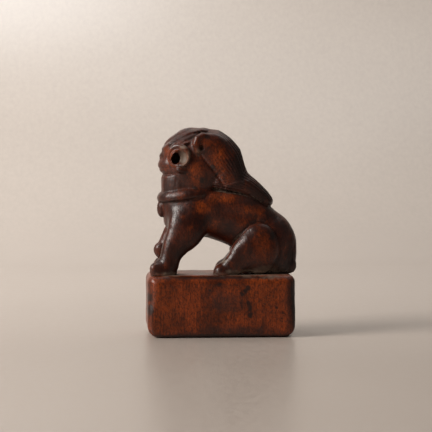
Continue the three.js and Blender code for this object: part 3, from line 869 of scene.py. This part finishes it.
# Where hands have laid the wood bare.
BARE = [
    *spots(-8, 4, [
        (-7.6, 31.3, 2.2, 4.6), (0.5, 23.4, 4.5, 1.6), (9.5, 19.5, 3.4, 1.6), (-2, 14.4, 3, 1.6),
    ]),
    *spots(8, 4, [(-8, 31, 3, 4.6), (2, 22.5, 5.5, 2.6)]),
    *spots(-9, 4, [(-0.7, 35.5, 2.2, 4.8), (-5.4, 20.2, 2.6, 2.2)]),
    *spots(9, 4, [(1, 36, 3, 4.6)]),
    *spots(-9, 3, [(-5, 40.8, 2.2, 1.6), (-14, 24.6, 3, 0.8)]),
    *spots(-5, 3, [(-16, 37.5, 1.2, 1.4)]),
    *spots(-11, 4, [(13.6, 7, 3.4, 5)]),
    *spots(11, 4, [(12.8, 8, 3.6, 4.6)]),
    *spots(-8, 3, [(20, 7, 1.4, 2.4)]),
    *spots(0, 5, [(20.5, 18, 3, 3), (7, 30, 2, 2)]),
    *spots(-12, 6, [(-17, -9, 4, 7), (14, -4.5, 7, 4)]),
]
# Where the polish has gone dull and rougher, and where shade is painted: darker under the mane, the
# jaw and the haunches, behind a foreleg, on the belly and the back of the rump, and on the block's
# right end and lower edge.
DULL_AND_SHADE = [
    *spots(8, 5, [(11, 24, 5, 3), (5.8, 31, 2.4, 5)], mirrored=True),
    *spots(-8, 4, [(2, 13.5, 4, 2.8)]),
    *spots(11, 3, [(13, 2.4, 6, 1.8)], mirrored=True),
    *spots(-8, 7, [(21.8, 6, 1.8, 4)]),
    *spots(-9, 4, [(-11.6, 6.5, 1.6, 4.5)]),
    *spots(-12, 5, [(21, -9, 1.8, 8), (1, -8, 5, 3.2), (4, -16.5, 14, 1.2)]),
    *spots(7, 4, [(-14, 27, 4.5, 2.6)], mirrored=True),
    *spots(-6, 4, [(-9, 41.5, 5, 1.2)]),
]
# Where pale dust lies, and where pale highlights are painted: on the right wall of each eye's bowl, on
# the near eye's rim at its top and right, and on the near ear's lower edge.
DUST_AND_HIGHLIGHTS = [
    # Pale dust with painted light on the right wall of each eye's bowl.
    *spots(8.2, 2, [(-11.4, 35.6, 1.3, 2.2)], mirrored=True),
    *spots(9.5, 3, [(9, 0.6, 8, 1)], mirrored=True),
    *spots(-8, 3, [(18, 0.5, 4, 0.8), (0, 4.2, 2, 0.6)]),
    *spots(-10, 4, [(14.5, 0.8, 5.5, 1.5), (17, 1, 5, 1.2)]),
    *spots(-7, 5, [(-15, 0.3, 4.5, 0.6)]),
    # Painted highlights on the near ear's lower edge and on the near eye's rim, at its top and right.
    *spots(-8.9, 1.2, [(-6.6, 37.6, 0.9, 1.2)]),
    *spots(-8.7, 1.5, [(-11.1, 38.8, 1.4, 0.5)]),
    *spots(-8.9, 1.5, [(-9.6, 36.6, 0.5, 1.6)]),
]


PATCHES = (("stain_and_shade", STAINS_AND_SHADE, 41), ("bare", BARE, 51), ("dust_and_highlight_patches", DUST_AND_HIGHLIGHTS, 61), ("dull_and_shade", DULL_AND_SHADE, 71))
LONG_PLACE = 20


def patches_at(points, places, seed):
    """Uneven patches at the given places, from 0 to 1."""
    rough = 0.35 * mottle(points, 0.7, seed) + 0.3 * mottle(points, 1.6, seed + 1)
    total = np.zeros(len(points))
    for middle, halves in places:
        far = np.linalg.norm((points - np.array(middle)) / np.array(halves), axis=1)
        uneven = 0.4 if max(halves) > LONG_PLACE else 1.0
        total = np.maximum(total, np.clip(1.4 - far + uneven * rough, 0, 1))
    return total


def piece_of(name, points, faces, normals, material, wave=1.0):
    """Makes a piece of the seal from points and faces in the lion's own frame."""
    shape = bpy.context.scene.seal_shape
    hollow, worn = hollow_and_worn(points, normals)
    stray = 0.65 * mottle(points, 3.1, 11) + 0.35 * mottle(points, 1.3, 12)
    moved = points + normals * (stray * shape.hand_wave / MM * wave)[:, None]
    mesh = bpy.data.meshes.new(name)
    mesh.from_pydata(((moved + SHIFT) * MM).tolist(), [], faces)
    kinds = {"hollow": hollow, "worn": worn}
    for title, places, seed in PATCHES:
        kinds[title] = patches_at(points, places, seed)
    for title, values in kinds.items():
        layer = mesh.attributes.new(title, "FLOAT", "POINT")
        layer.data.foreach_set("value", values.astype(np.float32))
    mesh.update(calc_edges=True)
    mesh.shade_smooth()
    mesh.normals_split_custom_set_from_vertices(normals.tolist())
    piece = bpy.data.objects.new(f"carved_{name}", mesh)
    bpy.context.scene.collection.objects.link(piece)
    mesh.materials.append(material)
    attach(piece, "root")
    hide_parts(name)
    return piece


def carve(name, form, box, detail, material, wave):
    """Makes one piece from a form of its own."""
    cell = spacing(detail)
    at = Lump(*box, cell)
    field = np.broadcast_to(form(at), at.shape).astype(np.float32)
    points, faces = skin(field)
    if not len(points):
        raise RuntimeError(f"{name}: the form has no surface inside its box")
    points, faces = main_part(points, faces)
    points = relaxed(field, cell, points, faces) * cell + at.low
    normals = normals_of(points, faces)
    return piece_of(name, points, faces.tolist(), normals, material, wave)


def carve_section(name):
    """Makes a section of the lion from the lion's surface, and closes it inside."""
    points, faces, normals, marks = lion()
    number = NAMES.index(name)
    faces = faces[marks == number]
    if not len(faces):
        raise RuntimeError(f"{name}: no part of the lion's surface belongs to it")
    used, local = np.unique(faces, return_inverse=True)
    faces = local.reshape(-1, 4)
    points, normals = points[used], normals[used]
    count = len(points)
    start, end = faces.ravel().astype(np.int64), np.roll(faces, -1, axis=1).ravel().astype(np.int64)
    open_edge = ~np.isin(start * count + end, end * count + start)
    start, end = start[open_edge], end[open_edge]
    label = joined(count, np.stack([start, end], axis=1))
    loops, loop = np.unique(label[start], return_inverse=True)
    share = np.bincount(loop)[:, None]
    apexes = summed(loop, points[start], len(loops)) / share
    ends = apexes - FAN_DEPTH * summed(loop, normals[start], len(loops)) / share
    all_faces = faces.tolist() + np.stack([end, start, count + loop], axis=1).tolist()
    for middle, behind in PITS:
        for side in SIDES:
            near = np.linalg.norm(apexes - np.array(middle) * (1, side, 1), axis=1) < PIT_REACH
            ends[near] = np.array(behind) * (1, side, 1)
    points = np.vstack([points, ends])
    normals = np.vstack([normals, np.tile((0.0, 0.0, 1.0), (len(loops), 1))])
    return piece_of(name, points, all_faces, normals, lion_wood())


def main_part(points, faces):
    """The largest connected part of a mesh, without loose chips."""
    label = joined(len(points), faces)
    keep = label == np.bincount(label).argmax()
    if keep.all():
        return points, faces
    number = np.cumsum(keep) - 1
    return points[keep], number[faces[keep[faces[:, 0]]]]


# Materials


class Value:
    """A number that a material works out, so that shader maths reads as plain expressions."""

    def __init__(self, bench, socket):
        self.bench, self.socket = bench, socket

    def maths(self, operation, *others):
        return self.bench.node("ShaderNodeMath", {"operation": operation}, [self, *others])

    def __add__(self, other):
        return self.maths("ADD", other)

    def __sub__(self, other):
        return self.maths("SUBTRACT", other)

    def __rsub__(self, other):
        return self * -1 + other

    def __mul__(self, other):
        return self.maths("MULTIPLY", other)

    __radd__ = __add__
    __rmul__ = __mul__

    def held(self):
        """The value, held between 0 and 1."""
        return self.bench.node("ShaderNodeClamp", {}, [self])

    def over(self, low, high):
        """0 below low, 1 above high, and smooth in between."""
        return self.bench.node(
            "ShaderNodeMapRange", {"interpolation_type": "SMOOTHSTEP"}, {0: self, 1: low, 2: high},
        )


class Bench:
    """The node tree of a material or a world, with one method that adds any node."""

    def __init__(self, owner, shader):
        owner.use_nodes = True
        self.tree = owner.node_tree
        self.shader = self.tree.nodes[shader]

    def node(self, kind, settings=None, inputs=(), output=0):
        """Adds a node: its settings first, then its sockets' values or links."""
        made = self.tree.nodes.new(kind)
        for key, setting in (settings or {}).items():
            setattr(made, key, setting)
        self.fill(made, inputs if isinstance(inputs, dict) else dict(enumerate(inputs)))
        return Value(self, made.outputs[output])

    def fill(self, node, inputs):
        """Links a node's sockets, or sets their values."""
        for key, value in inputs.items():
            if isinstance(value, Value):
                self.tree.links.new(value.socket, node.inputs[key])
            else:
                node.inputs[key].default_value = value

    def mix(self, share, first, second):
        """A colour between two, by a share from 0 to 1."""
        inputs = {"Factor": share, 6: first, 7: second}
        return self.node("ShaderNodeMix", {"data_type": "RGBA"}, inputs, 2)

    def tinted(self, colour, factor):
        """A colour times a number."""
        colour = colour if isinstance(colour, Value) else colour[:3]
        inputs = {0: colour, "Scale": factor}
        return self.node("ShaderNodeVectorMath", {"operation": "SCALE"}, inputs)

    def noise(self, place, stretch, detail=2.0, roughness=0.5, warp=0.0):
        """Noise from 0 to 1, with its own number of lumps to the millimetre along each axis."""
        moved = self.node("ShaderNodeVectorMath", {"operation": "MULTIPLY"}, [place, stretch])
        return self.node("ShaderNodeTexNoise", {}, {
            "Vector": moved, "Scale": 1.0, "Detail": detail, "Roughness": roughness,
            "Distortion": warp,
        })

    def attribute(self, name):
        """A number kept at the points of the mesh."""
        return self.node("ShaderNodeAttribute", {"attribute_name": name}, output=2)


def rgba(colour):
    return (*colour, 1.0)


def wood(name, base, gloss, grain, patina_and_shade, worn, spec, paste=None):
    """Old rubbed hardwood: upright fibres, dark pores, patina in hollows and bare high spots."""
    finish = bpy.context.scene.seal_finish
    material = bpy.data.materials.new(name)
    bench = Bench(material, "Principled BSDF")
    place = bench.tinted(bench.node("ShaderNodeTexCoord", output=3), 1 / MM)
    hollow, proud = bench.attribute("hollow"), bench.attribute("worn")
    stain_and_shade, dull_and_shade = bench.attribute("stain_and_shade"), bench.attribute("dull_and_shade")
    bared, dust_and_highlight_patches = bench.attribute("bare"), bench.attribute("dust_and_highlight_patches")

    clouds = bench.noise(place, (0.16, 0.16, 0.12), 3, 0.55, 0.4)
    patches = bench.noise(place, (0.42, 0.42, 0.28), 3, 0.6)
    bands = bench.noise(place, (0.55, 0.25, 0.05), 3, 0.5, 0.8)
    streaks = bench.noise(place, (2.6, 2.6, 0.10), 3, 0.62)
    pores = bench.noise(place, (5.2, 5.2, 0.55), 2, 0.6)
    specks = bench.noise(place, (1.5, 1.5, 0.8), 3, 0.65)
    flecks = bench.noise(place, (2.1, 2.1, 1.1), 4, 0.72, 0.6)

    dark, bare = rgba(finish.dark_colour), rgba(finish.worn_colour)
    deep = [0.40 * part for part in base]
    colour = bench.mix(clouds.over(0.36, 0.64), rgba(deep), rgba(base))
    rubbed = (patches.over(0.50, 0.78) * (0.55 * worn) + bared * (0.15 + patches * 0.75)).held()
    colour = bench.mix(rubbed, colour, bare)
    tone = 1.0 + (bands - 0.5) * 0.3 + (streaks - 0.5) * (0.95 * grain)
    colour = bench.tinted(colour, tone)
    colour = bench.mix(proud.over(0.28, 0.80) * (0.55 * worn), colour, bare)
    # Patina in the hollows, with painted shade laid on in them.
    colour = bench.mix(hollow.over(0.34, 0.85) * (0.85 * patina_and_shade), colour, dark)
    colour = bench.tinted(colour, 0.66 + flecks.over(0.36, 0.62) * 0.52)
    colour = bench.mix(flecks.over(0.52, 0.40) * 0.45, colour, dark)
    colour = bench.mix(pores.over(0.60, 0.72) * (0.4 * grain), colour, dark)
    colour = bench.mix(specks.over(0.64, 0.72) * 0.7, colour, dark)
    # Dark spots, and painted shade on the block's lower edges and right end.
    colour = bench.mix(stain_and_shade.over(0.1, 0.8) * 0.92, colour, dark)
    # Darker where the polish is dull, mostly as painted shade.
    colour = bench.mix(dull_and_shade * (0.35 + flecks * 0.5), colour, dark)
    # Pale dust in the deepest hollows and at listed places; at the eyes and an ear these pale patches
    # are painted highlights.
    dust_and_highlight = hollow.over(0.55, 0.95) * specks.over(0.35, 0.60)
    dust_and_highlight = (dust_and_highlight * (0.55 * patina_and_shade) + dust_and_highlight_patches * (0.35 + specks * 0.6)).held()
    colour = bench.mix(dust_and_highlight, colour, rgba(finish.dust_and_highlight_colour))
    if paste:
        colour = bench.mix(patches.over(0.35, 0.60) * 0.7, colour, rgba(paste))

    rough = finish.roughness - gloss + (clouds - 0.5) * 0.16 + hollow * 0.22
    rough = rough + (streaks - 0.5) * 0.10 + dull_and_shade * 0.18 + dust_and_highlight_patches * 0.25
    height = streaks * 0.5 + pores * -0.35 + bench.noise(place, (0.9, 0.9, 0.6), 2, 0.5) * 1.6
    relief = {"Strength": 0.32, "Distance": 0.00022, "Height": height}
    bench.fill(bench.shader, {
        "Base Color": colour, "Roughness": rough.held(), "IOR": 1.5, "Specular IOR Level": spec,
        "Normal": bench.node("ShaderNodeBump", {}, relief),
    })
    return material


def block_wood():
    colour = bpy.context.scene.seal_finish.block_colour
    return wood("rubbed_block", colour, gloss=0.02, grain=1.5, patina_and_shade=0.8, worn=0.7, spec=0.42)


@lru_cache
def lion_wood():
    colour = bpy.context.scene.seal_finish.lion_colour
    return wood("rubbed_lion", colour, gloss=0.02, grain=0.8, patina_and_shade=1.0, worn=0.8, spec=0.38)


# The operators, one for each section or group of like sections


class SealStep(Operator):
    """Base of the steps that make the seal."""

    bl_options = {"REGISTER", "UNDO"}

    def execute(self, context):
        self.make()
        return {"FINISHED"}


class SEAL_OT_block(SealStep):
    """Carves the stamping block"""

    bl_idname = "seal.block"
    bl_label = "Stamping block"

    def make(self):
        box = (BLOCK_LOW - SHIFT, BLOCK_HIGH - SHIFT)
        box[0][2] = SOLE - BLOCK_TOP
        detail = bpy.context.scene.seal_shape.block_detail

        def form(at):
            return without(block(at), sole_field(at), 0.3)

        carve("seal_block", form, box, detail, block_wood(), wave=1.3)


class SEAL_OT_face(SealStep):
    """Carves the fret in the stamping face"""

    bl_idname = "seal.stamping_face"
    bl_label = "Stamping face"

    def make(self):
        finish = bpy.context.scene.seal_finish
        material = wood(
            "face_paste", finish.block_colour, gloss=-0.12, grain=0.6, patina_and_shade=1.0, worn=0.2,
            spec=0.2, paste=finish.paste_colour,
        )
        low = SOLE - BLOCK_TOP
        box = ((-22.5, -12, low), (22.5, 12, low + 1.2))
        carve("seal_face", fret, box, bpy.context.scene.seal_shape.detail, material, wave=0.2)


def section_step(label, doc, *names):
    """An operator that carves the named sections of the lion."""
    key = label.lower().replace(" ", "_")

    def make(self):
        for name in names:
            carve_section(name)

    return type(f"SEAL_OT_{key}", (SealStep,), {
        "__doc__": doc, "bl_idname": f"seal.{key}", "bl_label": label, "make": make,
    })


LION_STEPS = (
    section_step("Torso", "Carves the chest, the back and the seat", "torso"),
    section_step("Forelegs", "Carves the forelegs", *pair("foreleg")),
    section_step("Forepaws", "Carves the paws, the right one raised", *pair("forepaw")),
    section_step("Ball", "Carves the ball under the raised paw", "play_ball"),
    section_step("Hind legs", "Carves the haunches and shins", *pair("hind_leg")),
    section_step("Hind paws", "Carves the hind paws", *pair("hind_paw")),
    section_step("Tail", "Carves the tail on the rump", "tail"),
    section_step("Collar", "Carves the collar and its bell", "collar", "chest_bell"),
    section_step("Face", "Carves the head, the muzzle and the jaw", "head", "muzzle", "jaw"),
    section_step("Eyes", "Carves the drilled eyes", *pair("eye")),
    section_step("Ears", "Carves the folded ears", *pair("ear")),
    section_step("Mane", "Carves the mane", "forelock", "mane_hood", "mane_cape"),
)


class SEAL_OT_stage(SealStep):
    """Sets the table, the light and the camera"""

    bl_idname = "seal.stage"
    bl_label = "Table, light and camera"

    def make(self):
        stage = bpy.context.scene.seal_stage
        table(stage)
        lamps(stage)
        camera(stage)


def table(stage):
    """A pale table that curves up into a wall."""
    radius, start, width, front, top = 0.22, 0.26, 2.4, -1.2, 1.4
    outline = [(front, 0.0), (start, 0.0)]
    outline += [
        (start + radius * math.sin(a), radius * (1 - math.cos(a)))
        for a in np.linspace(0, math.pi / 2, 25)[1:]
    ]
    outline.append((start + radius, top))
    points = [(x, y, z) for y, z in outline for x in (-width, width)]
    faces = [(2 * i, 2 * i + 1, 2 * i + 3, 2 * i + 2) for i in range(len(outline) - 1)]
    mesh = bpy.data.meshes.new("table")
    mesh.from_pydata(points, [], faces)
    mesh.shade_smooth()
    floor = bpy.data.objects.new("table", mesh)
    bpy.context.scene.collection.objects.link(floor)
    material = bpy.data.materials.new("table_paper")
    bench = Bench(material, "Principled BSDF")
    place = bench.node("ShaderNodeTexCoord", output=3)
    cloud = bench.noise(place, (9.0, 9.0, 9.0), 3, 0.5)
    fibre = bench.noise(place, (500.0, 220.0, 400.0), 3, 0.6)
    tone = 0.86 + cloud * 0.10 + fibre * 0.18
    bench.fill(bench.shader, {
        "Base Color": bench.tinted(rgba(stage.table_colour), tone),
        "Roughness": 0.26 + fibre * 0.14, "Specular IOR Level": 0.5,
    })
    mesh.materials.append(material)


def lamp(name, place, target, size, power, colour):
    light = bpy.data.lights.new(name, "AREA")
    light.shape = "RECTANGLE"
    light.size, light.size_y = size
    light.energy, light.color = power, colour
    holder = bpy.data.objects.new(name, light)
    holder.location = place
    holder.rotation_euler = (Vector(target) - Vector(place)).to_track_quat("-Z", "Y").to_euler()
    bpy.context.scene.collection.objects.link(holder)


def lamps(stage):
    """A soft lamp on the left, one overhead and one on the wall, in a room darker in front."""
    here, wall = (0, 0, 0.03), (-0.05, 0.58, 0.30)
    lamp("key", (-0.60, -0.22, 0.40), here, (0.34, 0.30), stage.key_power, (1.0, 0.95, 0.90))
    lamp("top", (0.18, 0.22, 0.64), here, (0.45, 0.45), stage.top_power, (1.0, 1.0, 0.98))
    lamp("wall", (-0.16, 0.12, 0.45), wall, (0.3, 0.3), stage.wall_power, (0.93, 0.97, 1.0))
    world = bpy.data.worlds.new("room")
    bench = Bench(world, "Background")
    direction = bench.node("ShaderNodeTexCoord", output=0)
    behind = bench.node("ShaderNodeSeparateXYZ", {}, [direction], output=1)
    darkest, brightest = 0.4 * stage.sky_strength, 1.6 * stage.sky_strength
    strength = bench.node("ShaderNodeMapRange", {}, [behind, -1, 1, darkest, brightest])
    bench.fill(bench.shader, {"Strength": strength, "Color": (1.0, 0.965, 0.935, 1)})
    bpy.context.scene.world = world


def camera(stage):
    """A long lens at the lion's height, a little to its front."""
    picture, middle = 432, 216
    turned, across, up = 4.0, 218.8, 139.9  # a level line at this turn meets the picture here
    data = bpy.data.cameras.new("camera")
    data.lens = stage.lens
    data.clip_start, data.clip_end = 0.01, 20
    pixels = stage.lens / data.sensor_width * picture
    turn = math.radians(turned) - math.atan((across - middle) / pixels)
    pitch = math.atan((middle - up) / pixels)
    holder = bpy.data.objects.new("camera", data)
    holder.location = (-0.0357, -0.4988, 0.060)
    holder.rotation_euler = (math.pi / 2 - pitch, 0, -turn)
    bpy.context.scene.collection.objects.link(holder)
    bpy.context.scene.camera = holder


STEPS = (SEAL_OT_block, SEAL_OT_face, *LION_STEPS, SEAL_OT_stage)


class SEAL_PT_panel(Panel):
    """Lists the steps and their sizes"""

    bl_idname = "SEAL_PT_panel"
    bl_label = "Carved seal"
    bl_space_type = "VIEW_3D"
    bl_region_type = "UI"
    bl_category = "Seal"

    def draw(self, context):
        for step in STEPS:
            self.layout.operator(step.bl_idname)
        for name, _ in GROUPS:
            group = getattr(context.scene, name)
            box = self.layout.box()
            for key in group.__annotations__:
                box.prop(group, key)


GROUPS = (("seal_shape", SealShape), ("seal_finish", SealFinish), ("seal_stage", SealStage))


def register():
    for name, group in GROUPS:
        bpy.utils.register_class(group)
        setattr(bpy.types.Scene, name, PointerProperty(type=group))
    for step in (*STEPS, SEAL_PT_panel):
        bpy.utils.register_class(step)


def unregister():
    for step in reversed((*STEPS, SEAL_PT_panel)):
        bpy.utils.unregister_class(step)
    for name, group in reversed(GROUPS):
        delattr(bpy.types.Scene, name)
        bpy.utils.unregister_class(group)


def main():
    register()
    bpy.context.scene.view_settings.view_transform = "Standard"
    for step in STEPS:
        getattr(bpy.ops.seal, step.bl_idname.split(".")[1])()


if __name__ == "__main__":
    main()
